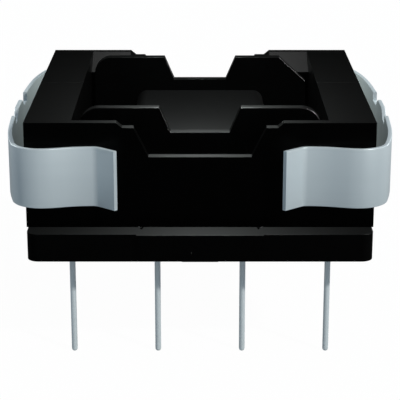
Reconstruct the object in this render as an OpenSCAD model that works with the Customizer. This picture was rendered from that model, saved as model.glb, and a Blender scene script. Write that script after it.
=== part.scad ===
// Flat transformer bobbin, unwound: a moulded coil former with eight pins, two
// ferrite E core halves and the two spring clips that hold the halves together.
// Millimetres. The origin is the centre of the pin pattern on the board plane,
// +X runs along the pin rows, +Y from the front rail to the rear rail, +Z up.

/* [Ferrite core] */
// Width across the outer legs
core_w = 15; // [14.5:0.1:17]
// Length of one core half, from its back to the mating plane
core_half_l = 7.5; // [7:0.1:9]
// Height of the outer legs
core_h = 4.65; // [4.2:0.05:6]
// Width of each outer leg
outer_leg_w = 2; // [1.6:0.05:2.2]
// Thickness of the yoke that joins the three legs
yoke_t = 2; // [1.6:0.05:2.4]
// Width of the centre leg
centre_leg_w = 5.3; // [4:0.1:6.5]
// Height of the centre leg
centre_leg_h = 2.4; // [1.8:0.05:2.6]
// Height of the centre leg's underside above the core's underside
centre_leg_lift = 0.2; // [0.15:0.05:0.4]
// Level land along the yoke's back edge, before its top slopes inward
land_t = 0.45; // [0.3:0.05:0.9]
// Slope of the yoke's top, down from the land to the inner face, in degrees
yoke_slope = 25; // [10:1:30]
// Width of the wire saddle's floor in the yoke
saddle_w = 4.4; // [3:0.1:5]
// Depth of the saddle's floor below the core's top
saddle_depth = 1.5; // [1:0.05:1.8]
// Width of the saddle at its mouth
saddle_mouth_w = 5.68; // [5.2:0.02:6.2]
// Depth of the small step beside the mouth, below the core's top
step_depth = 0.22; // [0.1:0.02:0.5]
// Width of that step's flat
step_w = 0.47; // [0.2:0.01:0.8]
// Run of the bevel from the step up to the core's top
step_run = 0.26; // [0.1:0.02:0.6]

/* [Coil former] */
// Wall of the barrel
barrel_wall = 0.45; // [0.3:0.05:0.6]
// Rounding along the barrel's outer edges
barrel_r = 0.5; // [0.2:0.05:0.8]
// Clearance between the barrel's bore and the centre leg, each side
leg_clear = 0.06; // [0.02:0.01:0.12]
// Thickness of each flange
flange_t = 0.5; // [0.3:0.05:0.8]
// Gap between a flange and the yoke behind it
flange_gap = 0.05; // [0.02:0.01:0.2]
// Gap between a flange and the outer leg beside it
flange_side_gap = 0.2; // [0.05:0.05:0.5]
// Height of the flange tops above the core
flange_rise = 0.15; // [0:0.05:0.6]
// Rounding of the flange's top corners
flange_corner_r = 0.85; // [0.3:0.05:1.1]
// Width of the flange's wire notch at the top
notch_mouth_w = 3.56; // [3:0.02:4.4]
// Width of the notch at its floor
notch_floor_w = 2.6; // [1.6:0.1:3]
// Depth of the notch
notch_depth = 1.12; // [0.6:0.02:1.4]
// Run along the top of the bevelled rear corner that marks pin 1
mark_run = 1.33; // [0.9:0.01:1.6]
// Drop down the side of that bevelled corner
mark_drop = 1.21; // [0.9:0.01:1.6]

/* [Pin rails] */
// Height of each rail, up to the core's seat
rail_h = 1.23; // [0.9:0.01:2]
// Reach of a rail past the core's back face
rail_reach = 1; // [0.6:0.05:2]
// Set-in of each rail end from the core's side
rail_inset = 0.07; // [0:0.01:0.5]
// Rounding of the rail's outer corners, seen from above
rail_corner_r = 0.5; // [0.2:0.05:0.9]
// Width of the raised pad in the middle of the rail's face
pad_w = 5.46; // [4:0.02:7]
// Reach of the pad at its top edge, from where it tapers to nothing
pad_reach = 0.14; // [0.05:0.01:0.4]
// Width of each small tick cut in the ledge beside the core
tick_w = 0.22; // [0.1:0.02:0.4]
// Length of a tick, out from the core's face
tick_l = 0.31; // [0.1:0.01:0.5]
// Depth of a tick
tick_depth = 0.12; // [0.05:0.01:0.3]
// Distance between the two ticks of a rail
tick_span = 5.34; // [4:0.02:6.6]
// Width of the stand-off foot under each rail
foot_w = 1.58; // [1:0.02:2.6]
// Length of the foot, front to back
foot_l = 2.2; // [1:0.1:2.6]
// Height of the foot
foot_h = 0.27; // [0.15:0.01:0.6]
// Set-in of the foot from the rail's outer face
foot_inset = 0.7; // [0.2:0.01:1]

/* [Pins] */
// Diameter of a pin
pin_d = 0.26; // [0.2:0.01:0.7]
// How much wider than the pin its square root is, in its rail and down to the board plane
root_extra = 0.02; // [0.01:0.01:0.1]
// Distance from pin to pin along a row
pin_pitch = 3.75; // [3:0.05:4]
// Set-in of a pin's axis from the rail's outer face
pin_inset = 1.75; // [1:0.05:2.5]
// Length of a pin below the board plane
pin_below = 4.6; // [2.5:0.1:6]
// Depth of a pin in its rail
pin_embed = 1; // [0.5:0.05:1]

/* [Spring clips] */
// Thickness of the strip
clip_t = 0.19; // [0.12:0.01:0.3]
// Height of the strip
clip_h = 2.62; // [1.8:0.02:3.6]
// Distance from the core's side to the strip at mid length
clip_stand = 0.99; // [0.8:0.01:1.4]
// Turn of the shallow bow along the core's side, to one end, in degrees
bow_turn = 3.8; // [3:0.1:5]
// Bend radius of the shoulder next to the corner
shoulder_r = 15; // [8:0.5:18]
// Turn of the shoulder, in degrees
shoulder_turn = 10.2; // [6:0.1:14]
// Outer bend radius of the corner
corner_r = 1.35; // [0.8:0.05:1.5]
// Bend radius of the crest after the corner
crest_r = 2.25; // [1.5:0.05:4]
// Dip of the finger towards the core, in degrees
dip_turn = 14; // [8:0.5:18]
// Straight length between the crest and the contact bend
dip_l = 0.5; // [0.1:0.05:0.8]
// Bend radius where the finger meets the core
contact_r = 4.9; // [3:0.1:6]
// Bend radius where the tip flares away from the core
flare_r = 0.5; // [0.3:0.05:1]
// Turn of the flare, in degrees
flare_turn = 40; // [25:1:60]
// Straight length of the flared tip
flare_l = 0.91; // [0.4:0.01:1.4]
// Running gap between the finger and the core
grip_gap = 0.015; // [0.005:0.005:0.1]
// Distance from mid length to the far wall of each edge notch
edge_notch_far = 2.3; // [1.9:0.05:3]
// Distance from mid length to the near end of that notch's floor
edge_notch_near = 1.4; // [1.1:0.05:1.7]
// Depth of the edge notches
edge_notch_depth = 0.42; // [0.2:0.02:0.8]
// Width of the tab left between the notches, at its top
edge_tab_w = 1.5; // [0.8:0.05:2]

/* [Hidden] */
$fn = 48;
pins_per_row = 4;
pin_count = 2 * pins_per_row;
// Extra length that carries a cut clear through a face
over = 0.5;
// Largest turn that one flat of a bent strip takes, in degrees
bend_step = 3;

// Levels, from the board up
rail_top = foot_h + rail_h;
core_top = rail_top + core_h;
leg_bottom = rail_top + centre_leg_lift;
leg_mid = leg_bottom + centre_leg_h / 2;
flange_top = core_top + flange_rise;

// Places in plan
window_half_w = core_w / 2 - outer_leg_w;
flange_out_y = core_half_l - yoke_t - flange_gap;
flange_in_y = flange_out_y - flange_t;
flange_w = 2 * (window_half_w - flange_side_gap);
bore_w = centre_leg_w + 2 * leg_clear;
bore_h = centre_leg_h + 2 * leg_clear;
barrel_w = bore_w + 2 * barrel_wall;
barrel_h = bore_h + 2 * barrel_wall;
rail_w = core_w - 2 * rail_inset;
rail_out_y = core_half_l + rail_reach;
pin_row_y = rail_out_y - pin_inset;
root_w = pin_d + root_extra;

// Bends of one half of a clip, from mid length to a fingertip: [turn, centreline radius, straight length]
corner_mid_r = corner_r - clip_t / 2;
heel_turn = bow_turn + shoulder_turn;
corner_turn = 90 - heel_turn;
dip_depth = (crest_r + contact_r) * (1 - cos(dip_turn)) + dip_l * sin(dip_turn);
crest_y = core_half_l + grip_gap + clip_t / 2 + dip_depth;
shoulder_run_y = shoulder_r * (sin(heel_turn) - sin(bow_turn));
corner_run_y = corner_mid_r * (1 - sin(heel_turn));
bow_r = (crest_y - shoulder_run_y - corner_run_y) / sin(bow_turn);
clip_bends = [
    [bow_turn, bow_r, 0],
    [shoulder_turn, shoulder_r, 0],
    [corner_turn, corner_mid_r, 0],
    [dip_turn, crest_r, 0],
    [0, 0, dip_l],
    [-dip_turn, contact_r, 0],
    [-flare_turn, flare_r, 0],
    [0, 0, flare_l]
];
clip_mid = [-core_w / 2 - clip_stand - clip_t / 2, 0];
clip_bottom = rail_top + (core_h - clip_h) / 2;
clip_top = clip_bottom + clip_h;

// Point that a bend reaches from p, going at heading a, after turning t at radius r or running straight for l
function bend_end(p, a, t, r, l) =
    t == 0
        ? p + l * [cos(a), sin(a)]
        : p + sign(t) * r * [sin(a + t) - sin(a), cos(a) - cos(a + t)];

// Stations [x, y, heading] along bend i, leaving out its start
function bend_stations(b, p, a) =
    let (flats = max(1, ceil(abs(b[0]) / bend_step)))
    [for (k = [1:flats])
        let (t = b[0] * k / flats, q = bend_end(p, a, t, b[1], b[2]))
        [q[0], q[1], a + t]];

// Stations along all the bends of a strip, from bend i on
function strip_stations(bends, p, a, i = 0) =
    i == len(bends)
        ? []
        : let (b = bends[i])
            concat(
                bend_stations(b, p, a),
                strip_stations(bends, bend_end(p, a, b[0], b[1], b[2]), a + b[0], i + 1)
            );

// Points beside the stations, at distance d to the left of the way they run
function beside(stations, d) = [for (s = stations) [s[0] - d * sin(s[2]), s[1] + d * cos(s[2])]];
function mirrored_y(points) = [for (p = points) [p[0], -p[1]]];
function mirrored_x(points) = [for (p = points) [-p[0], p[1]]];
function backwards(points) = [for (i = [len(points) - 1:-1:0]) points[i]];

// Place of pin n: pins 1 to 4 along the rear row from the marked corner, 5 to 8 back along the front row
function pin_place(n) =
    let (rear = n <= pins_per_row)
    let (k = rear ? pins_per_row - n : n - pins_per_row - 1)
    [(k - (pins_per_row - 1) / 2) * pin_pitch, rear ? pin_row_y : -pin_row_y];

// Extrudes an outline drawn in X and Z along +Y
module along_y(length) {
    rotate([90, 0, 180])
        linear_extrude(length)
            children();
}

// Extrudes an outline drawn in Y and Z along +X
module along_x(length) {
    rotate([90, 0, 90])
        linear_extrude(length)
            children();
}

// Outline with true arcs at all four corners, centred on the origin
module rounded_rect(w, h, r) {
    square([w - 2 * r, h], center = true);
    square([w, h - 2 * r], center = true);
    for (sx = [-1, 1], sz = [-1, 1])
        translate([sx * (w / 2 - r), sz * (h / 2 - r)])
            circle(r);
}

// Right-hand edge of the saddle, its heights measured from the core's top and multiplied by k
function saddle_edge(k) = [
    [saddle_w / 2, -saddle_depth * k],
    [saddle_mouth_w / 2, -step_depth * k],
    [saddle_mouth_w / 2 + step_w, -step_depth * k],
    [saddle_mouth_w / 2 + step_w + step_run, 0]
];

// All that lies above the saddle, out to the given half width
module above_saddle(half_w, k) {
    edge = concat(saddle_edge(k), [[half_w, 0], [half_w, core_h]]);
    polygon(concat(edge, backwards(mirrored_x(edge))));
}

// Core half with its back at the front and its legs running to the mating plane at y = 0
module core_half() {
    saddle_half_w = saddle_mouth_w / 2 + step_w + step_run;
    slope_l = yoke_t - land_t;
    difference() {
        translate([0, 0, rail_top])
            linear_extrude(core_h)
                difference() {
                    translate([-core_w / 2, -core_half_l])
                        square([core_w, core_half_l]);
                    translate([-window_half_w, yoke_t - core_half_l])
                        square([2 * window_half_w, core_half_l]);
                }
        translate([0, -core_half_l - over, core_top])
            along_y(land_t + 2 * over)
                above_saddle(saddle_half_w, 1);
        intersection() {
            translate([0, land_t - core_half_l, core_top])
                rotate([-yoke_slope, 0, 0])
                    translate([0, -core_h, 0])
                        along_y(2 * core_h + yoke_t)
                            above_saddle(window_half_w, cos(yoke_slope));
            translate([-window_half_w, land_t - core_half_l, rail_top])
                cube([2 * window_half_w, slope_l + over, 2 * core_h]);
        }
    }
    translate([-centre_leg_w / 2, land_t - core_half_l, leg_bottom])
        cube([centre_leg_w, core_half_l - land_t, centre_leg_h]);
}

module core_front() {
    color([0.09, 0.09, 0.1])
        core_half();
}

module core_rear() {
    color([0.09, 0.09, 0.1])
        rotate([0, 0, 180])
            core_half();
}

// Flange seen along its thickness, from the rail's underside up
module flange_outline(marked) {
    half_w = flange_w / 2;
    shoulder = flange_top - flange_corner_r;
    difference() {
        union() {
            translate([-half_w, foot_h])
                square([flange_w, shoulder - foot_h]);
            translate([-half_w + flange_corner_r, foot_h])
                square([flange_w - 2 * flange_corner_r, flange_top - foot_h]);
            for (side = [-1, 1])
                translate([side * (half_w - flange_corner_r), shoulder])
                    circle(flange_corner_r);
        }
        slant = (notch_mouth_w - notch_floor_w) / 2 / notch_depth;
        notch = [
            [notch_floor_w / 2, flange_top - notch_depth],
            [notch_mouth_w / 2 + slant * over, flange_top + over]
        ];
        polygon(concat(notch, backwards(mirrored_x(notch))));
        if (marked)
            polygon([
                [half_w - mark_run, flange_top],
                [half_w, flange_top - mark_drop],
                [half_w + over, flange_top - mark_drop],
                [half_w + over, flange_top + over],
                [half_w - mark_run, flange_top + over]
            ]);
    }
}

// Rail and foot on the front side, seated under the core's back
module pin_rail() {
    rail_l = rail_out_y - flange_in_y;
    translate([0, -rail_out_y, foot_h])
        linear_extrude(rail_h) {
            translate([-rail_w / 2, rail_corner_r])
                square([rail_w, rail_l - rail_corner_r]);
            translate([-rail_w / 2 + rail_corner_r, 0])
                square([rail_w - 2 * rail_corner_r, rail_l]);
            for (side = [-1, 1])
                translate([side * (rail_w / 2 - rail_corner_r), rail_corner_r])
                    circle(rail_corner_r);
        }
    translate([-pad_w / 2, -rail_out_y, 0])
        along_x(pad_w)
            polygon([[0, foot_h], [pad_reach, foot_h], [pad_reach, rail_top], [-pad_reach, rail_top]]);
    translate([-foot_w / 2, foot_inset - rail_out_y, 0])
        cube([foot_w, foot_l, rail_top - rail_h / 2]);
}

// Small three-cornered ticks cut in the front ledge, beside the core's face
module ledge_ticks() {
    for (side = [0, 1])
        mirror([side, 0, 0])
            translate([-tick_span / 2, -core_half_l, rail_top - tick_depth])
                linear_extrude(tick_depth + over)
                    polygon([[0, 0], [tick_w * 3 / 4, -tick_l], [tick_w, 0]]);
}

module coil_former() {
    barrel_l = 2 * flange_out_y;
    color([0.05, 0.05, 0.055])
        difference() {
            union() {
                for (turn = [0, 180])
                    rotate([0, 0, turn])
                        pin_rail();
                translate([0, -flange_out_y, 0])
                    along_y(flange_t)
                        flange_outline(false);
                translate([0, flange_in_y, 0])
                    mirror([1, 0, 0])
                        along_y(flange_t)
                            flange_outline(true);
                translate([0, -flange_out_y, leg_mid])
                    along_y(barrel_l)
                        rounded_rect(barrel_w, barrel_h, barrel_r);
            }
            translate([-bore_w / 2, -flange_out_y - over, leg_mid - bore_h / 2])
                cube([bore_w, barrel_l + 2 * over, bore_h]);
            for (turn = [0, 180])
                rotate([0, 0, turn])
                    ledge_ticks();
            for (n = [1:pin_count])
                translate([pin_place(n)[0], pin_place(n)[1], foot_h - over])
                    pin_root(pin_embed + over);
        }
}

// Square root of a pin, standing on the origin
module pin_root(h) {
    translate([-root_w / 2, -root_w / 2, 0])
        cube([root_w, root_w, h]);
}

// Round pin with a square root and a domed tip
module pin(n) {
    color([0.62, 0.66, 0.68])
        translate([pin_place(n)[0], pin_place(n)[1], 0]) {
            shank_bottom = pin_d / 2 - pin_below;
            pin_root(foot_h + pin_embed);
            translate([0, 0, shank_bottom])
                cylinder(h = foot_h - shank_bottom, d = pin_d);
            translate([0, 0, shank_bottom])
                sphere(d = pin_d);
        }
}

// Strip bent round the left outer leg, with two notches in its upper edge
module spring_clip() {
    half = strip_stations(clip_bends, clip_mid, -90);
    whole = concat([[clip_mid[0], clip_mid[1], -90]], half);
    inner = concat(backwards(mirrored_y(beside(half, clip_t / 2))), beside(whole, clip_t / 2));
    outer = concat(backwards(mirrored_y(beside(half, -clip_t / 2))), beside(whole, -clip_t / 2));
    difference() {
        translate([0, 0, clip_bottom])
            linear_extrude(clip_h)
                polygon(concat(inner, backwards(outer)));
        for (side = [0, 1])
            mirror([0, side, 0])
                translate([clip_mid[0] - clip_stand, 0, clip_top])
                    along_x(2 * clip_stand)
                        polygon([
                            [edge_tab_w / 2, 0],
                            [edge_notch_near, -edge_notch_depth],
                            [edge_notch_far, -edge_notch_depth],
                            [edge_notch_far, over],
                            [edge_tab_w / 2, over]
                        ]);
    }
}

module clip_left() {
    color([0.66, 0.7, 0.73])
        spring_clip();
}

module clip_right() {
    color([0.66, 0.7, 0.73])
        rotate([0, 0, 180])
            spring_clip();
}

coil_former();
core_front();
core_rear();
clip_left();
clip_right();
for (n = [1:pin_count])
    pin(n);
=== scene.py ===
"""Dresses an unwound flat transformer bobbin: moulded former, ferrite core, spring clips and pins.

Metres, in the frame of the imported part: the origin is the centre of the pin pattern on the board
plane, +X runs along the pin rows, +Y from the front rail to the rear rail, +Z up.
"""

import logging
import math
from dataclasses import dataclass
from enum import Enum

import bmesh
import bpy
from mathutils import Euler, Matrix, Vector


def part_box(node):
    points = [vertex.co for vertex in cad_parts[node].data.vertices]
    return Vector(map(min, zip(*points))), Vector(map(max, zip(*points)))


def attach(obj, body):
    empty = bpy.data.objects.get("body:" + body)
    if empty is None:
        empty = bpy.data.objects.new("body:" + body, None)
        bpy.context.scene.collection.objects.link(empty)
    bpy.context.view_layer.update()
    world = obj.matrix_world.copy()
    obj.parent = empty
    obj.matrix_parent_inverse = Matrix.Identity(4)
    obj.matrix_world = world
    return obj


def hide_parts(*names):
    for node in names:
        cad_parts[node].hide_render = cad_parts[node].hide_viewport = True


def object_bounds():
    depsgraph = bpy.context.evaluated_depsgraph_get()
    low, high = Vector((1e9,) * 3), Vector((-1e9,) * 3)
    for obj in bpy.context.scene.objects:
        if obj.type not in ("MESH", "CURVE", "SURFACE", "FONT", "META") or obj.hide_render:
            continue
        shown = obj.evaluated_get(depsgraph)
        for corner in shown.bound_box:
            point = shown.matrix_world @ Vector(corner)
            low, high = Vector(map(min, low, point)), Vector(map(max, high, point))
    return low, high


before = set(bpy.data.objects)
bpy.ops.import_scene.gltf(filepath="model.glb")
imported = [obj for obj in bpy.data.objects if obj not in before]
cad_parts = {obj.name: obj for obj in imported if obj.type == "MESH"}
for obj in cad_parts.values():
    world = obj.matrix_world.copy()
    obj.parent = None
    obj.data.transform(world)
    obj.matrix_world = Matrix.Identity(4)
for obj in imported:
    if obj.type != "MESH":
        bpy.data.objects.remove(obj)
CAD_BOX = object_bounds()

MM = 0.001
MERGE_DISTANCE = 0.0001 * MM
FLAT_ANGLE = math.radians(0.5)
CREASE_ANGLE = math.radians(10)
BROKEN_ANGLE = math.radians(35)
RIGHT_ANGLE = 90.0
ROUNDING_SEGMENTS = 3

Colour = tuple[float, float, float]
Point = tuple[float, float, float]
Span = tuple[float, float]

ANYWHERE: Span = (-math.inf, math.inf)
FRONT_HALF: Span = (-math.inf, 0.0)
REAR_HALF: Span = (0.0, math.inf)
REARWARD: Point = (0.0, 1.0, 0.0)
WHITE: Colour = (1.0, 1.0, 1.0)

log = logging.getLogger("transformer_bobbin")


class Slot(Enum):
    """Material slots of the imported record."""

    MOULDING = "moulding"
    FERRITE = "ferrite"
    SPRING_STEEL = "spring_steel"
    TINNED_PIN = "tinned_pin"


class Side(Enum):
    """Side of the part that a clip sits on, as the sign of X."""

    LEFT = -1
    RIGHT = 1


class CoreHalf(Enum):
    """The two ferrite halves, by their node names."""

    FRONT = "core_front"
    REAR = "core_rear"


class Lit(Enum):
    """Groups of objects that a lamp may be kept to."""

    MOULDING = "moulded former"
    FERRITE = "core halves"
    STEEL = "clips and pins"
    FLOOR = "floor"


class NodeSheet:
    """Adds and links nodes in one node tree."""

    def __init__(self, tree: bpy.types.NodeTree) -> None:
        """Takes the tree that the nodes go into.

        Args:
            tree: A shader or geometry node tree.
        """
        self.tree = tree

    def add(self, kind: str, **settings: object) -> bpy.types.Node:
        """Adds a node.

        Args:
            kind: The node's type name.
            settings: Properties to set on the node.

        Returns:
            The new node.
        """
        node = self.tree.nodes.new(kind)
        for name, value in settings.items():
            setattr(node, name, value)
        return node

    def link(self, source: bpy.types.NodeSocket, target: bpy.types.NodeSocket) -> None:
        """Links one socket to another.

        Args:
            source: An output socket.
            target: An input socket.
        """
        self.tree.links.new(source, target)

    def math(self, operation: str, first: object, second: object = 0.0) -> bpy.types.NodeSocket:
        """Adds a Math node.

        Args:
            operation: The node's operation.
            first: A socket or a number.
            second: A socket or a number.

        Returns:
            The node's output.
        """
        node = self.add("ShaderNodeMath", operation=operation)
        for socket, value in zip(node.inputs, (first, second)):
            self.feed(socket, value)
        return node.outputs[0]

    def feed(self, socket: bpy.types.NodeSocket, value: object) -> None:
        """Links a socket, or sets its default.

        Args:
            socket: The input socket.
            value: An output socket or a plain value.
        """
        if isinstance(value, bpy.types.NodeSocket):
            self.link(value, socket)
        else:
            socket.default_value = value


@dataclass(frozen=True)
class MixSockets:
    """Places of a Mix node's sockets for one kind of value."""

    first: int
    second: int
    result: int
    share: int = 0


FLOAT_MIX = MixSockets(first=2, second=3, result=0)
COLOUR_MIX = MixSockets(first=6, second=7, result=2)


class GrainGroup:
    """Shader group shared by all finishes: fine and broad surface grain from any coordinates."""

    NAME = "surface_grain"
    DETAIL = 3.0
    ROUGHNESS = 0.55

    @classmethod
    def tree(cls) -> bpy.types.NodeTree:
        """Builds the group once.

        Returns:
            The shader node group.
        """
        found = bpy.data.node_groups.get(cls.NAME)
        if found:
            return found
        group = bpy.data.node_groups.new(cls.NAME, "ShaderNodeTree")
        face = group.interface
        face.new_socket(name="Coordinates", in_out="INPUT", socket_type="NodeSocketVector")
        for name in ("Fine scale", "Broad scale", "Broad share"):
            face.new_socket(name=name, in_out="INPUT", socket_type="NodeSocketFloat")
        for name in ("Height", "Mottle"):
            face.new_socket(name=name, in_out="OUTPUT", socket_type="NodeSocketFloat")
        sheet = NodeSheet(group)
        given = sheet.add("NodeGroupInput")
        result = sheet.add("NodeGroupOutput")
        fine = sheet.add("ShaderNodeTexNoise")
        broad = sheet.add("ShaderNodeTexNoise")
        for noise, scale in ((fine, "Fine scale"), (broad, "Broad scale")):
            noise.inputs["Detail"].default_value = cls.DETAIL
            noise.inputs["Roughness"].default_value = cls.ROUGHNESS
            sheet.link(given.outputs["Coordinates"], noise.inputs["Vector"])
            sheet.link(given.outputs[scale], noise.inputs["Scale"])
        mix = sheet.add("ShaderNodeMix", data_type="FLOAT")
        sheet.link(given.outputs["Broad share"], mix.inputs[FLOAT_MIX.share])
        sheet.link(fine.outputs["Fac"], mix.inputs[FLOAT_MIX.first])
        sheet.link(broad.outputs["Fac"], mix.inputs[FLOAT_MIX.second])
        sheet.link(mix.outputs[FLOAT_MIX.result], result.inputs["Height"])
        sheet.link(broad.outputs["Fac"], result.inputs["Mottle"])
        return group


@dataclass(frozen=True)
class Finish:
    """What a surface is made of and how its grain looks.

    Colours are linear. Grain sizes and the bump height are in metres.
    """

    name: str
    dark: Colour
    light: Colour
    smoothest: float
    roughest: float
    fine_grain: float
    broad_grain: float
    broad_share: float
    bump_height: float
    bump_strength: float
    stretch: Point = (1.0, 1.0, 1.0)
    metallic: float = 0.0
    specular: float = 0.5
    upright_specular: float = 0.5
    upright_to_level: Span = (0.0, 1.0)

    def material(self) -> bpy.types.Material:
        """Builds the material once.

        Returns:
            The procedural material.
        """
        found = bpy.data.materials.get(self.name)
        if found:
            return found
        material = bpy.data.materials.new(self.name)
        material.use_nodes = True
        material.node_tree.nodes.clear()
        sheet = NodeSheet(material.node_tree)
        output = sheet.add("ShaderNodeOutputMaterial")
        surface = sheet.add("ShaderNodeBsdfPrincipled")
        sheet.link(surface.outputs["BSDF"], output.inputs["Surface"])
        surface.inputs["Metallic"].default_value = self.metallic
        if self.upright_specular == self.specular:
            surface.inputs["Specular IOR Level"].default_value = self.specular
        else:
            sheet.link(self._gloss(sheet), surface.inputs["Specular IOR Level"])
        grain = self._grain(sheet)
        tone = sheet.add("ShaderNodeMix", data_type="RGBA")
        tone.inputs[COLOUR_MIX.first].default_value = (*self.dark, 1.0)
        tone.inputs[COLOUR_MIX.second].default_value = (*self.light, 1.0)
        sheet.link(grain.outputs["Mottle"], tone.inputs[COLOUR_MIX.share])
        sheet.link(tone.outputs[COLOUR_MIX.result], surface.inputs["Base Color"])
        sheen = sheet.add("ShaderNodeMapRange")
        sheen.inputs["To Min"].default_value = self.smoothest
        sheen.inputs["To Max"].default_value = self.roughest
        sheet.link(grain.outputs["Height"], sheen.inputs["Value"])
        sheet.link(sheen.outputs["Result"], surface.inputs["Roughness"])
        bump = sheet.add("ShaderNodeBump")
        bump.inputs["Strength"].default_value = self.bump_strength
        bump.inputs["Distance"].default_value = self.bump_height
        sheet.link(grain.outputs["Height"], bump.inputs["Height"])
        sheet.link(bump.outputs["Normal"], surface.inputs["Normal"])
        return material

    def _gloss(self, sheet: NodeSheet) -> bpy.types.NodeSocket:
        """Lets the gloss fall from faces that look up to upright ones.

        Args:
            sheet: The material's nodes.

        Returns:
            The specular level.
        """
        upward = sheet.add("ShaderNodeSeparateXYZ")
        sheet.link(sheet.add("ShaderNodeNewGeometry").outputs["Normal"], upward.inputs[0])
        gloss = sheet.add("ShaderNodeMapRange", interpolation_type="SMOOTHSTEP")
        upright, level = self.upright_to_level
        gloss.inputs["From Min"].default_value = upright
        gloss.inputs["From Max"].default_value = level
        gloss.inputs["To Min"].default_value = self.upright_specular
        gloss.inputs["To Max"].default_value = self.specular
        sheet.link(upward.outputs["Z"], gloss.inputs["Value"])
        return gloss.outputs["Result"]

    def _grain(self, sheet: NodeSheet) -> bpy.types.Node:
        """Places the shared grain group on the piece's own coordinates.

        Args:
            sheet: The material's nodes.

        Returns:
            The group node.
        """
        place = sheet.add("ShaderNodeTexCoord")
        mapping = sheet.add("ShaderNodeMapping")
        mapping.inputs["Scale"].default_value = self.stretch
        sheet.link(place.outputs["Object"], mapping.inputs["Vector"])
        grain = sheet.add("ShaderNodeGroup", node_tree=GrainGroup.tree())
        grain.inputs["Fine scale"].default_value = 1.0 / self.fine_grain
        grain.inputs["Broad scale"].default_value = 1.0 / self.broad_grain
        grain.inputs["Broad share"].default_value = self.broad_share
        sheet.link(mapping.outputs["Vector"], grain.inputs["Coordinates"])
        return grain


BLACK_MOULDING = Finish(
    name="black_moulding",
    dark=(0.0004, 0.00045, 0.00045),
    light=(0.0008, 0.00085, 0.00085),
    smoothest=0.34,
    roughest=0.38,
    fine_grain=0.07 * MM,
    broad_grain=1.1 * MM,
    broad_share=0.2,
    bump_height=0.002 * MM,
    bump_strength=0.12,
    upright_specular=0.15,
    upright_to_level=(0.15, 0.5),
)
BLACK_FERRITE = Finish(
    name="black_ferrite",
    dark=(0.0004, 0.0004, 0.0004),
    light=(0.0009, 0.0009, 0.0009),
    smoothest=0.34,
    roughest=0.38,
    fine_grain=0.045 * MM,
    broad_grain=0.5 * MM,
    broad_share=0.3,
    bump_height=0.003 * MM,
    bump_strength=0.12,
    upright_specular=0.12,
    upright_to_level=(0.72, 0.9),
)
ROLLED_STEEL = Finish(
    name="rolled_steel",
    dark=(0.60, 0.67, 0.695),
    light=(0.64, 0.71, 0.735),
    smoothest=0.42,
    roughest=0.48,
    fine_grain=0.05 * MM,
    broad_grain=0.6 * MM,
    broad_share=0.4,
    bump_height=0.0012 * MM,
    bump_strength=0.25,
    stretch=(0.06, 0.06, 1.0),
    metallic=0.45,
)
TINNED_WIRE = Finish(
    name="tinned_wire",
    dark=(0.72, 0.79, 0.81),
    light=(0.76, 0.83, 0.85),
    smoothest=0.42,
    roughest=0.48,
    fine_grain=0.03 * MM,
    broad_grain=0.5 * MM,
    broad_share=0.5,
    bump_height=0.001 * MM,
    bump_strength=0.25,
    stretch=(1.0, 1.0, 0.08),
    metallic=0.45,
)


def link_object(name: str, mesh: bpy.types.Mesh) -> bpy.types.Object:
    """Puts a mesh into the scene.

    Args:
        name: The object's name.
        mesh: Its mesh, placed in the part's frame.

    Returns:
        The new object, at the origin.
    """
    mesh.name = name
    made = bpy.data.objects.new(name, mesh)
    bpy.context.scene.collection.objects.link(made)
    return made


def settle(piece: bpy.types.Object) -> None:
    """Turns a piece's evaluated shape into its plain mesh and drops its modifiers.

    Args:
        piece: The object to settle.
    """
    graph = bpy.context.evaluated_depsgraph_get()
    mesh = bpy.data.meshes.new_from_object(piece.evaluated_get(graph), depsgraph=graph)
    old = piece.data
    piece.modifiers.clear()
    piece.data = mesh
    mesh.name = piece.name
    bpy.data.meshes.remove(old)


def fit_to_part(piece: bpy.types.Object, finish: Finish, slot: Slot, *nodes: str) -> None:
    """Gives a piece its finish and lets it stand for its CAD nodes.

    Args:
        piece: The finished object.
        finish: Its surface finish.
        slot: The record's slot for that finish. Not used.
        nodes: The nodes that it replaces.
    """
    piece.data.materials.clear()
    piece.data.materials.append(finish.material())
    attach(piece, "root")
    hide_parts(*nodes)
    log.info("%s stands for %s, %d faces", piece.name, ", ".join(nodes), len(piece.data.polygons))


class FaceKind(Enum):
    """Kinds of face on a piece with broken edges, as its material indices."""

    FLAT = 0
    ROUNDED = 1


@dataclass(frozen=True)
class EdgeSpot:
    """A box within which the edges have a rounding of their own."""

    width: float
    across: Span = ANYWHERE
    along: Span = ANYWHERE
    up: Span = ANYWHERE

    def holds(self, edge: bmesh.types.BMEdge) -> bool:
        """Tells whether an edge lies in the box.

        Args:
            edge: The edge.

        Returns:
            True where both its ends do.
        """
        spans = (self.across, self.along, self.up)
        return all(
            low <= place <= high
            for vertex in edge.verts
            for place, (low, high) in zip(vertex.co, spans)
        )


@dataclass(frozen=True)
class EdgeBreak:
    """Rounding of a piece's convex edges, with spots that have widths of their own."""

    width: float
    spots: tuple[EdgeSpot, ...] = ()

    @property
    def widest(self) -> float:
        """The largest of the widths."""
        return max([self.width, *(spot.width for spot in self.spots)])

    def at(self, edge: bmesh.types.BMEdge) -> float:
        """Width of the rounding on one edge.

        Args:
            edge: The edge.

        Returns:
            The width, or 0 on a shallow or concave edge.
        """
        if not edge.is_manifold or edge.calc_face_angle_signed(0.0) < BROKEN_ANGLE:
            return 0.0
        for spot in self.spots:
            if spot.holds(edge):
                return spot.width
        return self.width


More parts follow.
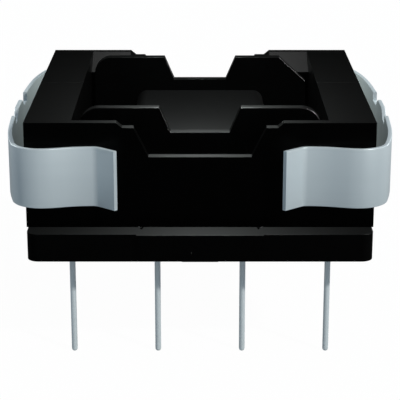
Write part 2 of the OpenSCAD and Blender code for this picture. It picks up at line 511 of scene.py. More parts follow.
def broken_edge_copy(node: str, name: str, edges: EdgeBreak) -> bpy.types.Object:
    """Copies a node's solid as clean flat faces and breaks its outer edges.

    Args:
        node: The CAD node.
        name: Name of the new piece.
        edges: The rounding of its edges.

    Returns:
        The new object, with a plain mesh.
    """
    shape = bmesh.new()
    shape.from_mesh(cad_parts[node].data)
    bmesh.ops.remove_doubles(shape, verts=shape.verts, dist=MERGE_DISTANCE)
    bmesh.ops.dissolve_limit(shape, angle_limit=FLAT_ANGLE, verts=shape.verts, edges=shape.edges)
    weight = shape.edges.layers.float.new("bevel_weight_edge")
    for edge in shape.edges:
        edge[weight] = edges.at(edge) / edges.widest
    mesh = bpy.data.meshes.new(name)
    shape.to_mesh(mesh)
    shape.free()
    mesh.shade_smooth()
    mesh.set_sharp_from_angle(angle=CREASE_ANGLE)
    for _ in FaceKind:
        mesh.materials.append(None)
    piece = link_object(name, mesh)
    bevel = piece.modifiers.new("edge_break", "BEVEL")
    bevel.limit_method = "WEIGHT"
    bevel.offset_type = "OFFSET"
    bevel.width = edges.widest
    bevel.segments = ROUNDING_SEGMENTS
    bevel.use_clamp_overlap = False
    bevel.material = FaceKind.ROUNDED.value
    settle(piece)
    set_normals(piece.data)
    return piece


def set_normals(mesh: bpy.types.Mesh) -> None:
    """Keeps flat faces flat and lets each rounding run from one flat to the next.

    Args:
        mesh: A mesh whose material indices are face kinds. They are set back to 0.
    """
    flats_at = [[] for _ in mesh.vertices]
    for face in mesh.polygons:
        if face.material_index == FaceKind.FLAT.value:
            for vertex in face.vertices:
                flats_at[vertex].append(face)
    normals = []
    for face in mesh.polygons:
        rounded = face.material_index == FaceKind.ROUNDED.value
        for vertex in face.vertices:
            flats = flats_at[vertex]
            if not flats:
                normals.append(mesh.vertex_normals[vertex].vector.copy())
                continue
            guide = face.normal
            if rounded:
                guide = max((flat.normal for flat in flats), key=guide.dot)
            level = [flat for flat in flats if flat.normal.angle(guide) < CREASE_ANGLE]
            total = sum((flat.normal * flat.area for flat in level), Vector())
            normals.append(total.normalized())
    mesh.normals_split_custom_set(normals)
    mesh.polygons.foreach_set("material_index", [0] * len(mesh.polygons))


@dataclass
class CoilFormer:
    """The moulded former: barrel, flanges and pin rails in one piece."""

    edge: float = 0.012 * MM
    front_flange_edge: float = 0.07 * MM
    marked_corner_edge: float = 0.025 * MM
    flange_upper: float = 5 * MM
    notch_half: float = 1.5 * MM
    marked_corner: float = 3.9 * MM

    def build(self) -> bpy.types.Object:
        """Builds and dresses the former.

        Returns:
            The piece.
        """
        piece = broken_edge_copy("coil_former", "moulded_former", self._edges())
        fit_to_part(piece, BLACK_MOULDING, Slot.MOULDING, "coil_former")
        return piece

    def _edges(self) -> EdgeBreak:
        """Widens the front flange's upper edges beside its notch, and the rear flange's marked corner.

        Returns:
            The rounding of the former's edges.
        """
        upper = (self.flange_upper, math.inf)
        beside_notch = ((-math.inf, -self.notch_half), (self.notch_half, math.inf))
        front = [EdgeSpot(self.front_flange_edge, side, FRONT_HALF, upper) for side in beside_notch]
        corner = (self.marked_corner, math.inf)
        marked = EdgeSpot(self.marked_corner_edge, corner, REAR_HALF, upper)
        return EdgeBreak(self.edge, (*front, marked))


@dataclass
class FerriteCore:
    """The two ground ferrite halves."""

    edge: float = 0.006 * MM
    seam_edge: float = 0.03 * MM
    seam_reach: float = 0.01 * MM

    def build(self) -> list[bpy.types.Object]:
        """Builds and dresses both halves.

        Returns:
            The two pieces.
        """
        seam = EdgeSpot(self.seam_edge, along=(-self.seam_reach, self.seam_reach))
        edges = EdgeBreak(self.edge, (seam,))
        pieces = []
        for half in CoreHalf:
            piece = broken_edge_copy(half.value, f"ferrite_{half.name.lower()}", edges)
            fit_to_part(piece, BLACK_FERRITE, Slot.FERRITE, half.value)
            pieces.append(piece)
        return pieces


@dataclass(frozen=True)
class Bend:
    """One stretch of a bent strip: a turn in degrees at a radius, or a straight run."""

    turn: float
    radius: float
    run: float = 0.0

    @property
    def length(self) -> float:
        """Length along the strip's middle."""
        return self.run if self.turn == 0 else abs(math.radians(self.turn)) * self.radius


@dataclass
class SpringClips:
    """The two bent strips that hold the core halves together."""

    thickness: float = 0.19 * MM
    bow_turn: float = 3.8
    shoulder_radius: float = 15 * MM
    shoulder_turn: float = 10.2
    corner_radius: float = 1.35 * MM
    crest_radius: float = 2.25 * MM
    dip_turn: float = 14.0
    dip_run: float = 0.5 * MM
    contact_radius: float = 4.9 * MM
    flare_radius: float = 0.5 * MM
    flare_turn: float = 40.0
    flare_run: float = 0.91 * MM
    grip_gap: float = 0.015 * MM
    notch_far: float = 2.3 * MM
    notch_near: float = 1.4 * MM
    notch_depth: float = 0.42 * MM
    tab_width: float = 1.5 * MM
    notch_wall: float = 0.004 * MM
    edge_rounding: float = 0.03 * MM
    rounding_steps: int = 3
    turn_step: float = 1.5
    longest_step: float = 0.35 * MM

    def build(self) -> list[bpy.types.Object]:
        """Builds and dresses both clips.

        Returns:
            The two pieces.
        """
        pieces = []
        tree = self._sweep_tree()
        for side in Side:
            node = f"clip_{side.name.lower()}"
            piece = self._swept_strip(f"spring_clip_{side.name.lower()}", side, node, tree)
            fit_to_part(piece, ROLLED_STEEL, Slot.SPRING_STEEL, node)
            pieces.append(piece)
        return pieces

    def _bends(self) -> list[Bend]:
        """Bends of half a clip, from mid length to the fingertip.

        Returns:
            The bends in order.
        """
        core_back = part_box(CoreHalf.REAR.value)[1].y
        crest = core_back + self.grip_gap + self.thickness / 2 + self._dip_depth()
        heel = self.bow_turn + self.shoulder_turn
        corner_middle = self.corner_radius - self.thickness / 2
        shoulder_run = self.shoulder_radius * (self._sine(heel) - self._sine(self.bow_turn))
        corner_run = corner_middle * (1 - self._sine(heel))
        bow_radius = (crest - shoulder_run - corner_run) / self._sine(self.bow_turn)
        return [
            Bend(self.bow_turn, bow_radius),
            Bend(self.shoulder_turn, self.shoulder_radius),
            Bend(RIGHT_ANGLE - heel, corner_middle),
            Bend(self.dip_turn, self.crest_radius),
            Bend(0, 0, self.dip_run),
            Bend(-self.dip_turn, self.contact_radius),
            Bend(-self.flare_turn, self.flare_radius),
            Bend(0, 0, self.flare_run),
        ]

    @staticmethod
    def _sine(degrees: float) -> float:
        """Sine of an angle in degrees."""
        return math.sin(math.radians(degrees))

    def _dip_depth(self) -> float:
        """Distance that the finger dips from its crest to the core.

        Returns:
            The distance along Y.
        """
        drop_of_arcs = 1 - math.cos(math.radians(self.dip_turn))
        radii = self.crest_radius + self.contact_radius
        return radii * drop_of_arcs + self.dip_run * self._sine(self.dip_turn)

    def _swept_strip(
        self, name: str, side: Side, node: str, tree: bpy.types.NodeTree
    ) -> bpy.types.Object:
        """Sweeps one clip along its bends.

        Args:
            name: Name of the new piece.
            side: The side that the clip sits on.
            node: The CAD node that it stands for.
            tree: The sweeping node tree.

        Returns:
            The new object, with a plain mesh.
        """
        low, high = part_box(node)
        path = self._path(low, high, side)
        mesh = bpy.data.meshes.new(name)
        points = [point for point, _ in path]
        mesh.from_pydata(points, [(here, here + 1) for here in range(len(points) - 1)], [])
        drop = mesh.attributes.new("top_drop", "FLOAT", "POINT")
        for item, (_, depth) in zip(drop.data, path):
            item.value = depth
        piece = link_object(name, mesh)
        modifier = piece.modifiers.new("sweep", "NODES")
        modifier.node_group = tree
        values = {
            "Thickness": self.thickness,
            "Height": high.z - low.z,
            "Edge rounding": self.edge_rounding,
            "Rounding steps": self.rounding_steps,
            "Middle level": (low.z + high.z) / 2,
            "Finish": ROLLED_STEEL.material(),
        }
        set_inputs(modifier, values)
        settle(piece)
        piece.data.set_sharp_from_angle(angle=BROKEN_ANGLE)
        return piece

    def _path(self, low: Vector, high: Vector, side: Side) -> list[tuple[Vector, float]]:
        """Points along a clip's middle, each with the depth cut from the upper edge there.

        Args:
            low: The clip node's lowest corner.
            high: Its highest corner.
            side: The side that the clip sits on.

        Returns:
            Points from the rear fingertip to the front one, with their depths.
        """
        bends = self._bends()
        level = (low.z + high.z) / 2
        outer_x = max(abs(low.x), abs(high.x))
        half = []
        for length in self._stations(bends):
            x, y = self._place(bends, length)
            half.append((x, y, self._cut(length)))
        middle_x = outer_x - self.thickness / 2
        front = [(Vector((side.value * (middle_x - x), -y, level)), cut) for x, y, cut in half]
        rear = [(Vector((side.value * (middle_x - x), y, level)), cut) for x, y, cut in half[:0:-1]]
        return rear + front

    def _stations(self, bends: list[Bend]) -> list[float]:
        """Lengths along half a clip at which the sweep has a section.

        Args:
            bends: The bends in order.

        Returns:
            Sorted lengths from mid length.
        """
        stops = {0.0, self.tab_width / 2, self.notch_near, self.notch_far}
        stops.add(self.notch_far + self.notch_wall)
        start = 0.0
        for bend in bends:
            by_turn = math.ceil(abs(bend.turn) / self.turn_step)
            by_length = math.ceil(bend.length / self.longest_step)
            count = max(1, by_turn, by_length)
            stops.update(start + bend.length * step / count for step in range(1, count + 1))
            start += bend.length
        return sorted(stops)

    def _cut(self, length: float) -> float:
        """Depth cut from the upper edge at a length from mid length.

        Args:
            length: The length.

        Returns:
            The depth.
        """
        tab_end = self.tab_width / 2
        if length <= tab_end or length > self.notch_far:
            return 0.0
        return self.notch_depth * min(1.0, (length - tab_end) / (self.notch_near - tab_end))

    @staticmethod
    def _place(bends: list[Bend], length: float) -> tuple[float, float]:
        """Place on the strip's middle at a length from mid length.

        Args:
            bends: The bends in order.
            length: The length.

        Returns:
            Distance inwards from mid length, and distance along the core.
        """
        x, y, heading = 0.0, 0.0, 0.0
        left = length
        for bend in bends:
            part = min(left, bend.length)
            if bend.turn == 0:
                x += part * math.sin(heading)
                y += part * math.cos(heading)
            else:
                turned = math.copysign(part / bend.radius, bend.turn)
                radius = math.copysign(bend.radius, bend.turn)
                x += radius * (math.cos(heading) - math.cos(heading + turned))
                y += radius * (math.sin(heading + turned) - math.sin(heading))
                heading += turned
            left -= part
            if left <= 0:
                break
        return x, y

    @staticmethod
    def _sweep_tree() -> bpy.types.NodeTree:
        """Node tree that sweeps a rounded strip section along a path and lowers its upper edge.

        Returns:
            The geometry node tree.
        """
        tree = bpy.data.node_groups.new("strip_sweep", "GeometryNodeTree")
        face = tree.interface
        face.new_socket(name="Path", in_out="INPUT", socket_type="NodeSocketGeometry")
        for name in ("Thickness", "Height", "Edge rounding", "Middle level"):
            face.new_socket(name=name, in_out="INPUT", socket_type="NodeSocketFloat")
        face.new_socket(name="Rounding steps", in_out="INPUT", socket_type="NodeSocketInt")
        face.new_socket(name="Finish", in_out="INPUT", socket_type="NodeSocketMaterial")
        face.new_socket(name="Strip", in_out="OUTPUT", socket_type="NodeSocketGeometry")
        sheet = NodeSheet(tree)
        given = sheet.add("NodeGroupInput").outputs
        curve = sheet.add("GeometryNodeMeshToCurve")
        sheet.link(given["Path"], curve.inputs["Mesh"])
        upright = sheet.add("GeometryNodeSetCurveNormal", mode="Z_UP")
        sheet.link(curve.outputs["Curve"], upright.inputs["Curve"])
        section = sheet.add("GeometryNodeCurvePrimitiveQuadrilateral", mode="RECTANGLE")
        sheet.link(given["Height"], section.inputs["Height"])
        sheet.link(given["Thickness"], section.inputs["Width"])
        rounded = sheet.add("GeometryNodeFilletCurve", mode="POLY")
        sheet.link(section.outputs["Curve"], rounded.inputs["Curve"])
        sheet.link(given["Edge rounding"], rounded.inputs["Radius"])
        sheet.link(given["Rounding steps"], rounded.inputs["Count"])
        sweep = sheet.add("GeometryNodeCurveToMesh")
        sweep.inputs["Fill Caps"].default_value = True
        sheet.link(upright.outputs["Curve"], sweep.inputs["Curve"])
        sheet.link(rounded.outputs["Curve"], sweep.inputs["Profile Curve"])
        height = sheet.add("ShaderNodeSeparateXYZ")
        sheet.link(sheet.add("GeometryNodeInputPosition").outputs[0], height.inputs[0])
        upper = sheet.add("FunctionNodeCompare", data_type="FLOAT", operation="GREATER_THAN")
        sheet.link(height.outputs["Z"], upper.inputs["A"])
        sheet.link(given["Middle level"], upper.inputs["B"])
        cut = sheet.add("GeometryNodeInputNamedAttribute", data_type="FLOAT")
        cut.inputs["Name"].default_value = "top_drop"
        down = sheet.add("ShaderNodeCombineXYZ")
        sheet.link(sheet.math("MULTIPLY", cut.outputs["Attribute"], -1.0), down.inputs["Z"])
        lowered = sheet.add("GeometryNodeSetPosition")
        sheet.link(sweep.outputs["Mesh"], lowered.inputs["Geometry"])
        sheet.link(upper.outputs["Result"], lowered.inputs["Selection"])
        sheet.link(down.outputs["Vector"], lowered.inputs["Offset"])
        finish_tree(sheet, lowered.outputs["Geometry"], given["Finish"])
        return tree


def finish_tree(
    sheet: NodeSheet, geometry: bpy.types.NodeSocket, finish: bpy.types.NodeSocket
) -> None:
    """Ends a geometry tree: real meshes, smooth faces, one material.

    Args:
        sheet: The tree's nodes.
        geometry: The socket with the finished shape.
        finish: The socket with the material.
    """
    real = sheet.add("GeometryNodeRealizeInstances")
    sheet.link(geometry, real.inputs["Geometry"])
    smooth = sheet.add("GeometryNodeSetShadeSmooth")
    sheet.link(real.outputs["Geometry"], smooth.inputs["Geometry"])
    dressed = sheet.add("GeometryNodeSetMaterial")
    sheet.link(smooth.outputs["Geometry"], dressed.inputs["Geometry"])
    sheet.link(finish, dressed.inputs["Material"])
    result = sheet.add("NodeGroupOutput")
    sheet.link(dressed.outputs["Geometry"], result.inputs[0])


def set_inputs(modifier: bpy.types.NodesModifier, values: dict[str, object]) -> None:
    """Sets a node modifier's named inputs.

    Args:
        modifier: The modifier, with its tree in place.
        values: The value of each input, by its name.
    """
    for item in modifier.node_group.interface.items_tree:
        if item.item_type == "SOCKET" and item.in_out == "INPUT" and item.name in values:
            modifier[item.identifier] = values[item.name]


@dataclass
class PinRows:
    """The two rows of round pins."""

    diameter: float = 0.26 * MM
    root_width: float = 0.28 * MM
    sides: int = 32
    per_row: int = 4
    rows: int = 2

    def build(self) -> bpy.types.Object:
        """Builds and dresses all the pins.

        Returns:
            The piece.
        """
        names = [f"pin_{number}" for number in range(1, self.per_row * self.rows + 1)]
        boxes = [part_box(name) for name in names]
        middles = [(low + high) / 2 for low, high in boxes]
        across = [middle.x for middle in middles]
        along = [middle.y for middle in middles]
        pitch = (max(across) - min(across)) / (self.per_row - 1)
        row_gap = max(along) - min(along)
        low, high = boxes[0]
        piece = link_object("tinned_pins", bpy.data.meshes.new("tinned_pins"))
        modifier = piece.modifiers.new("pins", "NODES")
        modifier.node_group = self._tree()
        values = {
            "Pin diameter": self.diameter,
            "Root width": self.root_width,
            "Root height": high.z,
            "Pin length": -low.z,
            "Pitch": pitch,
            "Row gap": row_gap,
            "Pins per row": self.per_row,
            "Rows": self.rows,
            "Sides": self.sides,
            "Finish": TINNED_WIRE.material(),
        }
        set_inputs(modifier, values)
        settle(piece)
        piece.data.set_sharp_from_angle(angle=BROKEN_ANGLE)
        fit_to_part(piece, TINNED_WIRE, Slot.TINNED_PIN, *names)
        return piece

    @staticmethod
    def _tree() -> bpy.types.NodeTree:
        """Node tree of the pin rows: one pin with a domed tip and a square root, set on a grid.

        Returns:
            The geometry node tree.
        """
        tree = bpy.data.node_groups.new("pin_rows", "GeometryNodeTree")
        face = tree.interface
        face.new_socket(name="Geometry", in_out="INPUT", socket_type="NodeSocketGeometry")
        lengths = ("Pin diameter", "Root width", "Root height", "Pin length", "Pitch", "Row gap")
        for name in lengths:
            face.new_socket(name=name, in_out="INPUT", socket_type="NodeSocketFloat")
        for name in ("Pins per row", "Rows", "Sides"):
            face.new_socket(name=name, in_out="INPUT", socket_type="NodeSocketInt")
        face.new_socket(name="Finish", in_out="INPUT", socket_type="NodeSocketMaterial")
        face.new_socket(name="Pins", in_out="OUTPUT", socket_type="NodeSocketGeometry")
        sheet = NodeSheet(tree)
        given = sheet.add("NodeGroupInput").outputs
        shank = PinRows._shank(sheet, given)
        root = PinRows._root(sheet, given)
        pin = sheet.add("GeometryNodeMeshBoolean", operation="UNION", solver="EXACT")
        for part in (shank, root):
            sheet.link(part, pin.inputs["Mesh 2"])
        grid = sheet.add("GeometryNodeMeshGrid")
        gaps = sheet.math("SUBTRACT", given["Pins per row"], 1.0)
        sheet.link(sheet.math("MULTIPLY", given["Pitch"], gaps), grid.inputs["Size X"])
        sheet.link(given["Row gap"], grid.inputs["Size Y"])
        sheet.link(given["Pins per row"], grid.inputs["Vertices X"])
        sheet.link(given["Rows"], grid.inputs["Vertices Y"])
        copies = sheet.add("GeometryNodeInstanceOnPoints")
        sheet.link(grid.outputs["Mesh"], copies.inputs["Points"])
        sheet.link(pin.outputs["Mesh"], copies.inputs["Instance"])
        finish_tree(sheet, copies.outputs["Instances"], given["Finish"])
        return tree

    @staticmethod
    def _shank(sheet: NodeSheet, given: bpy.types.NodeOutputs) -> bpy.types.NodeSocket:
        """Round shank with a domed tip, reaching half way into the root.

        Args:
            sheet: The tree's nodes.
            given: The tree's inputs.

        Returns:
            The shank's mesh socket.
        """
        radius = sheet.math("DIVIDE", given["Pin diameter"], 2.0)
        dome = sheet.add("GeometryNodeMeshUVSphere")
        sheet.link(given["Sides"], dome.inputs["Segments"])
        sheet.link(sheet.math("DIVIDE", given["Sides"], 2.0), dome.inputs["Rings"])
        sheet.link(radius, dome.inputs["Radius"])
        tip = sheet.add("GeometryNodeTransform")
        sheet.link(dome.outputs["Mesh"], tip.inputs["Geometry"])
        tip_level = sheet.add("ShaderNodeCombineXYZ")
        sheet.link(sheet.math("SUBTRACT", radius, given["Pin length"]), tip_level.inputs["Z"])
        sheet.link(tip_level.outputs["Vector"], tip.inputs["Translation"])
        ring = sheet.add("GeometryNodeMeshCircle")
        sheet.link(given["Sides"], ring.inputs["Vertices"])
        sheet.link(radius, ring.inputs["Radius"])
        top = sheet.add("GeometryNodeTransform")
        sheet.link(ring.outputs["Mesh"], top.inputs["Geometry"])
        top_level = sheet.add("ShaderNodeCombineXYZ")
        sheet.link(sheet.math("DIVIDE", given["Root height"], 2.0), top_level.inputs["Z"])
        sheet.link(top_level.outputs["Vector"], top.inputs["Translation"])
        ends = sheet.add("GeometryNodeJoinGeometry")
        sheet.link(tip.outputs["Geometry"], ends.inputs["Geometry"])
        sheet.link(top.outputs["Geometry"], ends.inputs["Geometry"])
        hull = sheet.add("GeometryNodeConvexHull")
        sheet.link(ends.outputs["Geometry"], hull.inputs["Geometry"])
        return hull.outputs["Convex Hull"]

    @staticmethod
    def _root(sheet: NodeSheet, given: bpy.types.NodeOutputs) -> bpy.types.NodeSocket:
        """Square root that stands on the board plane.

        Args:
            sheet: The tree's nodes.
            given: The tree's inputs.

        Returns:
            The root's mesh socket.
        """
        size = sheet.add("ShaderNodeCombineXYZ")
        for axis, name in (("X", "Root width"), ("Y", "Root width"), ("Z", "Root height")):
            sheet.link(given[name], size.inputs[axis])
        block = sheet.add("GeometryNodeMeshCube")
        sheet.link(size.outputs["Vector"], block.inputs["Size"])
        level = sheet.add("ShaderNodeCombineXYZ")
        sheet.link(sheet.math("DIVIDE", given["Root height"], 2.0), level.inputs["Z"])
        placed = sheet.add("GeometryNodeTransform")
        sheet.link(block.outputs["Mesh"], placed.inputs["Geometry"])
        sheet.link(level.outputs["Vector"], placed.inputs["Translation"])
        return placed.outputs["Geometry"]


@dataclass(frozen=True)
class Bearing:
    """Direction from the part to a lamp: degrees round from the front to the right, then up."""

    azimuth: float
    elevation: float

    @property
    def outward(self) -> Vector:
        """Unit vector from the part to the lamp."""
        azimuth = math.radians(self.azimuth)
        elevation = math.radians(self.elevation)
        level = math.cos(elevation)
        return Vector((math.sin(azimuth) * level, -math.cos(azimuth) * level, math.sin(elevation)))

    @property
    def facing(self) -> Euler:
        """Turn of a lamp that looks back at the part."""
        return (-self.outward).to_track_quat("-Z", "Y").to_euler()


def link_lamp(lamp: bpy.types.Light) -> bpy.types.Object:
    """Puts a lamp in the scene, out of the camera's sight.

    Args:
        lamp: The lamp.

    Returns:
        Its object, at the origin.
    """
    made = bpy.data.objects.new(lamp.name, lamp)
    made.visible_camera = False
    bpy.context.scene.collection.objects.link(made)
    return made


def light_only(lamp: bpy.types.Object, pieces: list[bpy.types.Object]) -> None:
    """Lets a lamp light some pieces and nothing else.

    Args:
        lamp: The lamp.
        pieces: The pieces that it lights.
    """
    lit = bpy.data.collections.new(f"lit_by_{lamp.name}")
    for piece in pieces:
        lit.objects.link(piece)
    lamp.light_linking.receiver_collection = lit


@dataclass(frozen=True)
class KeySun:
    """Light from far off. A white matt face turned to it shows its brightness."""

    name: str
    bearing: Bearing
    brightness: float
    tint: Colour = WHITE
    spread: float = 4.0
    shadowed: bool = True
    mirrored: bool = True
    lights: tuple[Lit, ...] = tuple(Lit)

    def place(self) -> bpy.types.Object:
        """Puts the lamp in the scene.

        Returns:
            The lamp.
        """
        lamp = bpy.data.lights.new(self.name, "SUN")
        lamp.use_shadow = self.shadowed
        lamp.angle = math.radians(self.spread)
        lamp.color = self.tint
        lamp.energy = self.brightness * math.pi
        made = link_lamp(lamp)
        made.visible_glossy = self.mirrored
        made.rotation_euler = self.bearing.facing
        return made


@dataclass(frozen=True)
class CloseLamp:
    """Small lamp close to the part that throws no shadow.

    A white matt face turned to it at its reach shows its brightness.
    """

    name: str
    position: Point
    brightness: float
    tint: Colour = WHITE
    radius: float = 1 * MM
    reach: float = 17.3 * MM
    mirrored: bool = True
    lights: tuple[Lit, ...] = tuple(Lit)

    def place(self) -> bpy.types.Object:
        """Puts the lamp in the scene.

        Returns:
            The lamp.
        """
        lamp = bpy.data.lights.new(self.name, "POINT")
        lamp.shadow_soft_size = self.radius
        lamp.use_shadow = False
        lamp.color = self.tint
        lamp.energy = self.brightness * (2 * math.pi * self.reach) ** 2
        made = link_lamp(lamp)
        made.visible_glossy = self.mirrored
        made.location = self.position
        return made


@dataclass(frozen=True)
class Softbox:
    """Flat lamp that looks at the middle of the part. Reflections show its brightness."""

    name: str
    bearing: Bearing
    width: float
    height: float
    brightness: float
    distance: float = 110 * MM
    lights: tuple[Lit, ...] = tuple(Lit)

    def place(self) -> bpy.types.Object:
        """Puts the lamp in the scene.

        Returns:
            The lamp.
        """
        lamp = bpy.data.lights.new(self.name, "AREA")
        lamp.shape = "RECTANGLE"
        lamp.size = self.width
        lamp.size_y = self.height
        lamp.energy = self.brightness * math.pi * self.width * self.height
        made = link_lamp(lamp)
        made.location = (CAD_BOX[0] + CAD_BOX[1]) / 2 + self.bearing.outward * self.distance
        made.rotation_euler = self.bearing.facing
        return made


KEY_BEARING = Bearing(47, 38)
KEY_TINT = (1.0, 0.985, 0.95)
CLOSE_TINT = (0.95, 1.02, 1.0)
STEEL_TINT = (0.94, 1.0, 0.95)
# The key sun lights everything. With no sun free of links, the linked ones are hardly sampled.
LAMPS = (
    KeySun("key_sun", KEY_BEARING, brightness=0.2, tint=KEY_TINT),
    KeySun(
        "edge_sun_on_moulding",
        Bearing(68, 34),
        brightness=1.0,
        shadowed=False,
        lights=(Lit.MOULDING,),
    ),
    KeySun(
        "key_sun_on_steel",
        KEY_BEARING,
        brightness=0.63,
        tint=KEY_TINT,
        lights=(Lit.STEEL, Lit.FLOOR),
    ),
    KeySun("left_rim_sun", Bearing(-132, 20), brightness=0.4, lights=(Lit.STEEL,)),
    KeySun("right_rim_sun", Bearing(128, 20), brightness=0.4, lights=(Lit.STEEL,)),
    KeySun(
        "overhead_sun",
        Bearing(0, 88),
        brightness=0.34,
        shadowed=False,
        mirrored=False,
        lights=(Lit.STEEL,),
    ),
    CloseLamp(
        "close_lamp_on_moulding",
        position=(0.0, 3.2 * MM, 16 * MM),
        brightness=0.585,
        tint=CLOSE_TINT,
        lights=(Lit.MOULDING,),
    ),
    CloseLamp(
        "close_lamp_on_core",
        position=(0.0, 3.8 * MM, 16 * MM),
        brightness=0.48,
        tint=CLOSE_TINT,
        lights=(Lit.FERRITE,),
    ),
    CloseLamp(
        "close_lamp_on_steel",
        position=(0.0, 9 * MM, 9 * MM),
        brightness=0.32,
        tint=STEEL_TINT,
        mirrored=False,
        lights=(Lit.STEEL,),
    ),
    Softbox(
        "slope_softbox",
        Bearing(180, 62),
        width=30 * MM,
        height=20 * MM,
        brightness=1.9,
        lights=(Lit.FERRITE,),
    ),
    Softbox(
        "rear_right_softbox",
        Bearing(135, 35),
        width=80 * MM,
        height=60 * MM,
        brightness=0.15,
    ),
    Softbox(
        "rear_left_softbox",
        Bearing(-135, 35),
        width=80 * MM,
        height=60 * MM,
        brightness=0.15,
    ),
)


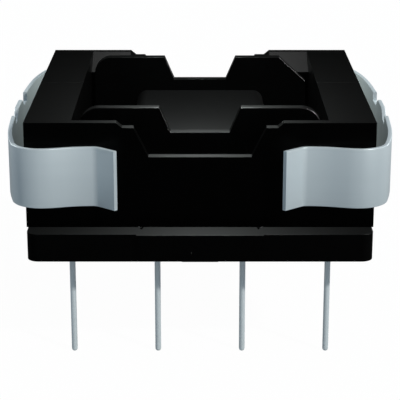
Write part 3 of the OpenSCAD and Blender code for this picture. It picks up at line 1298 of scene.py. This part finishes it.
@dataclass
class Studio:
    """Camera, floor, world and lamps."""

    camera_place: Point = (0.0, -68.59 * MM, 22.11 * MM)
    camera_pitch: float = 72.4
    focal_length: float = 134.1
    sensor_width: float = 36.0
    nearest_seen: float = 1 * MM
    floor_radius: float = 600 * MM
    floor_sides: int = 96
    floor_colour: Colour = (0.9, 0.9, 0.9)
    floor_white: float = 0.98
    floor_glow: float = 1.0
    floor_mirrored: float = 0.03
    room_colour: Colour = (0.22, 0.30, 0.375)
    mirrored_room: Colour = (0.02, 0.02, 0.02)
    dark_patch: Span = (45.0, 75.0)

    def build(self, pieces: dict[Lit, list[bpy.types.Object]]) -> None:
        """Builds the studio round the part.

        Args:
            pieces: The part's pieces, grouped for the lamps.
        """
        scene = bpy.context.scene
        scene.view_settings.view_transform = "Standard"
        self._camera(scene)
        lit = {**pieces, Lit.FLOOR: [self._floor()]}
        self._world(scene)
        for lamp in LAMPS:
            made = lamp.place()
            if lamp.lights != tuple(Lit):
                light_only(made, [piece for group in lamp.lights for piece in lit[group]])

    def _camera(self, scene: bpy.types.Scene) -> None:
        """Adds the camera at the photograph's viewpoint.

        Args:
            scene: The scene that it films.
        """
        lens = bpy.data.cameras.new("camera")
        lens.sensor_width = self.sensor_width
        lens.lens = self.focal_length
        lens.clip_start = self.nearest_seen
        camera = bpy.data.objects.new("camera", lens)
        camera.location = self.camera_place
        camera.rotation_euler = (math.radians(self.camera_pitch), 0.0, 0.0)
        scene.collection.objects.link(camera)
        scene.camera = camera

    def _floor(self) -> bpy.types.Object:
        """Lays a round floor under the pin tips.

        Returns:
            The floor.
        """
        shape = bmesh.new()
        sides, radius = self.floor_sides, self.floor_radius
        bmesh.ops.create_circle(shape, cap_ends=True, segments=sides, radius=radius)
        for vertex in shape.verts:
            vertex.co.z = CAD_BOX[0].z
        mesh = bpy.data.meshes.new("floor")
        shape.to_mesh(mesh)
        shape.free()
        mesh.materials.append(self._floor_material())
        floor = link_object("floor", mesh)
        return floor

    def _floor_material(self) -> bpy.types.Material:
        """Pale floor that shows white, keeps a soft shadow and is clear from below.

        Returns:
            The floor's material.
        """
        material = bpy.data.materials.new("pale_floor")
        material.use_nodes = True
        material.cycles.emission_sampling = "NONE"
        material.node_tree.nodes.clear()
        sheet = NodeSheet(material.node_tree)
        output = sheet.add("ShaderNodeOutputMaterial")
        rays = sheet.add("ShaderNodeLightPath").outputs
        straight = sheet.math("MAXIMUM", rays["Is Camera Ray"], rays["Is Transmission Ray"])
        pale = sheet.add("ShaderNodeBsdfDiffuse")
        pale.inputs["Color"].default_value = (*self.floor_colour, 1.0)
        white = sheet.add("ShaderNodeEmission")
        white.inputs["Strength"].default_value = self.floor_glow
        mirrored = sheet.add("ShaderNodeEmission")
        mirrored.inputs["Strength"].default_value = self.floor_mirrored
        clear = sheet.add("ShaderNodeBsdfTransparent")
        seen = self._blend(sheet, sheet.math("MULTIPLY", straight, self.floor_white), pale, white)
        lit = self._blend(sheet, rays["Is Glossy Ray"], seen, mirrored)
        below = sheet.add("ShaderNodeNewGeometry").outputs["Backfacing"]
        sheet.link(self._blend(sheet, below, lit, clear).outputs[0], output.inputs["Surface"])
        return material

    def _world(self, scene: bpy.types.Scene) -> None:
        """Adds a soft room that the camera sees as white and reflections see as dim.

        Args:
            scene: The scene that it lights.
        """
        world = bpy.data.worlds.new("studio_world")
        world.use_nodes = True
        world.cycles.sampling_method = "NONE"
        world.node_tree.nodes.clear()
        sheet = NodeSheet(world.node_tree)
        output = sheet.add("ShaderNodeOutputWorld")
        rays = sheet.add("ShaderNodeLightPath").outputs
        straight = sheet.math("MAXIMUM", rays["Is Camera Ray"], rays["Is Transmission Ray"])
        room = sheet.add("ShaderNodeBackground")
        room.inputs["Color"].default_value = (*self.room_colour, 1.0)
        mirrored = sheet.add("ShaderNodeBackground")
        mirrored.inputs["Color"].default_value = (*self.mirrored_room, 1.0)
        sheet.link(self._off_the_back(sheet), mirrored.inputs["Strength"])
        white = sheet.add("ShaderNodeBackground")
        white.inputs["Color"].default_value = (*WHITE, 1.0)
        lit = self._blend(sheet, rays["Is Glossy Ray"], room, mirrored)
        sheet.link(self._blend(sheet, straight, lit, white).outputs[0], output.inputs["Surface"])
        scene.world = world

    def _off_the_back(self, sheet: NodeSheet) -> bpy.types.NodeSocket:
        """Fades the reflected room out behind the part.

        Args:
            sheet: The world's nodes.

        Returns:
            A value from 0 straight behind to 1 all round.
        """
        place = sheet.add("ShaderNodeTexCoord")
        rearward = sheet.add("ShaderNodeVectorMath", operation="DOT_PRODUCT")
        rearward.inputs[1].default_value = REARWARD
        sheet.link(place.outputs["Generated"], rearward.inputs[0])
        fade = sheet.add("ShaderNodeMapRange", interpolation_type="SMOOTHSTEP")
        inner, outer = self.dark_patch
        fade.inputs["From Min"].default_value = math.cos(math.radians(outer))
        fade.inputs["From Max"].default_value = math.cos(math.radians(inner))
        fade.inputs["To Min"].default_value = 1.0
        fade.inputs["To Max"].default_value = 0.0
        sheet.link(rearward.outputs["Value"], fade.inputs["Value"])
        return fade.outputs["Result"]

    @staticmethod
    def _blend(
        sheet: NodeSheet, share: bpy.types.NodeSocket, first: bpy.types.Node, second: bpy.types.Node
    ) -> bpy.types.Node:
        """Mixes two shaders.

        Args:
            sheet: The nodes of a floor or world.
            share: How much of the second shader shows.
            first: A node whose first output is a shader.
            second: Another such node.

        Returns:
            The mixing node.
        """
        mix = sheet.add("ShaderNodeMixShader")
        sheet.link(share, mix.inputs["Fac"])
        sheet.link(first.outputs[0], mix.inputs[1])
        sheet.link(second.outputs[0], mix.inputs[2])
        return mix


def main() -> None:
    """Builds the part's pieces and the studio in order."""
    logging.basicConfig(level=logging.INFO, format="%(name)s: %(message)s")
    pieces = {
        Lit.MOULDING: [CoilFormer().build()],
        Lit.FERRITE: FerriteCore().build(),
        Lit.STEEL: [*SpringClips().build(), PinRows().build()],
    }
    Studio().build(pieces)


if __name__ == "__main__":
    main()
